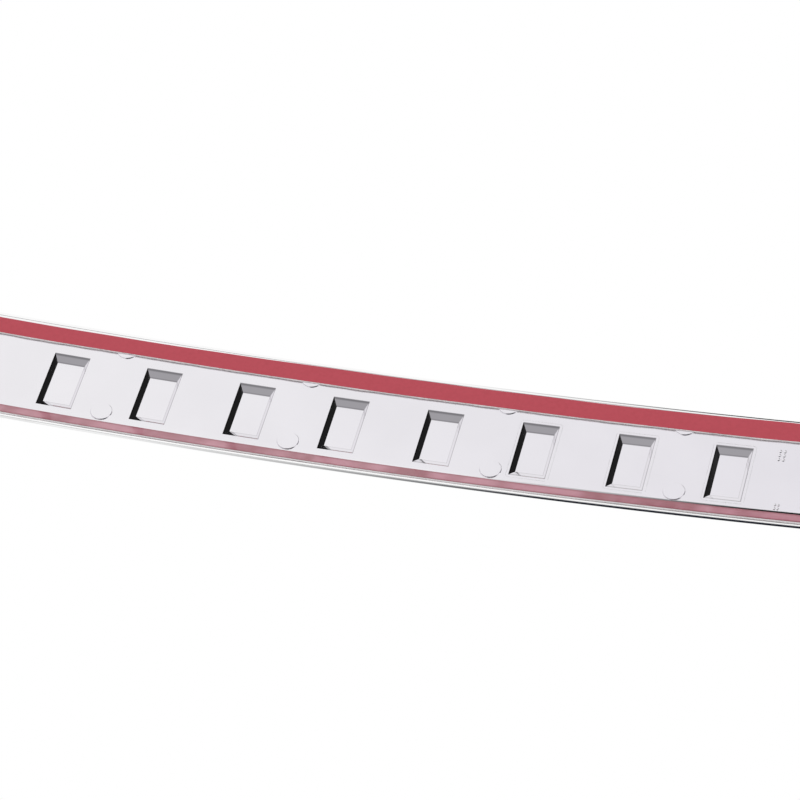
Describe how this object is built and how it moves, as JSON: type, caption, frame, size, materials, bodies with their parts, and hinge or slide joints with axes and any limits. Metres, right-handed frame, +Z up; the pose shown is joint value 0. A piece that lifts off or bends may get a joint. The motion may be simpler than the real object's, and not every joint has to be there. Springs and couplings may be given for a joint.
{
  "type": "third brake light",
  "caption": "Slim bowed stick-on third brake light: chromed housing with cored LED pads, red lens and red-lined foam tapes along the back.",
  "frame": {"origin": "on the housing's flat back face, mid-length, level with the LED row", "axes": "+X along the lamp, +Z up as mounted, -Y out through the lens, +Y out of the taped back"},
  "size_m": [0.4794, 0.0272, 0.0416],
  "materials": {
    "chrome_plate": null,
    "red_lens": null,
    "black_rubber": null,
    "reflector_plate": null,
    "board": null,
    "led_body": null,
    "component_black": null,
    "copper": null,
    "terminal_white": null,
    "screw_steel": null,
    "vent_film": null,
    "tape_foam": null,
    "red_liner": null
  },
  "bodies": {
    "lamp": {"chrome_housing": "chrome_plate", "red_lens": "red_lens", "lens_seal": "black_rubber", "reflector_frame": "reflector_plate", "led_board_left": "board", "led_board_right": "board", "led_01": "led_body", "led_02": "led_body", "led_03": "led_body", "led_04": "led_body", "led_05": "led_body", "led_06": "led_body", "led_07": "led_body", "led_08": "led_body", "led_09": "led_body", "led_10": "led_body", "led_11": "led_body", "led_12": "led_body", "led_13": "led_body", "led_14": "led_body", "led_15": "led_body", "led_16": "led_body", "resistor_1": "component_black", "resistor_2": "component_black", "resistor_3": "component_black", "resistor_4": "component_black", "input_diode": "component_black", "board_jumper": "copper", "lead_terminal": "terminal_white", "board_screws": "screw_steel", "cable_grommet": "black_rubber", "vent_membrane": "vent_film", "upper_foam_tape": "tape_foam", "lower_foam_tape": "tape_foam"},
    "upper_liner_body": {"upper_liner": "red_liner"},
    "lower_liner_body": {"lower_liner": "red_liner"}
  },
  "joints": [
    {"name": "upper_liner_peel", "type": "slide", "parent": "lamp", "child": "upper_liner_body", "axis": [0, 1, 0], "range_m": [0, 0.03]},
    {"name": "lower_liner_peel", "type": "slide", "parent": "lamp", "child": "lower_liner_body", "axis": [0, 0.8572, 0.515], "range_m": [0, 0.03]}
  ]
}
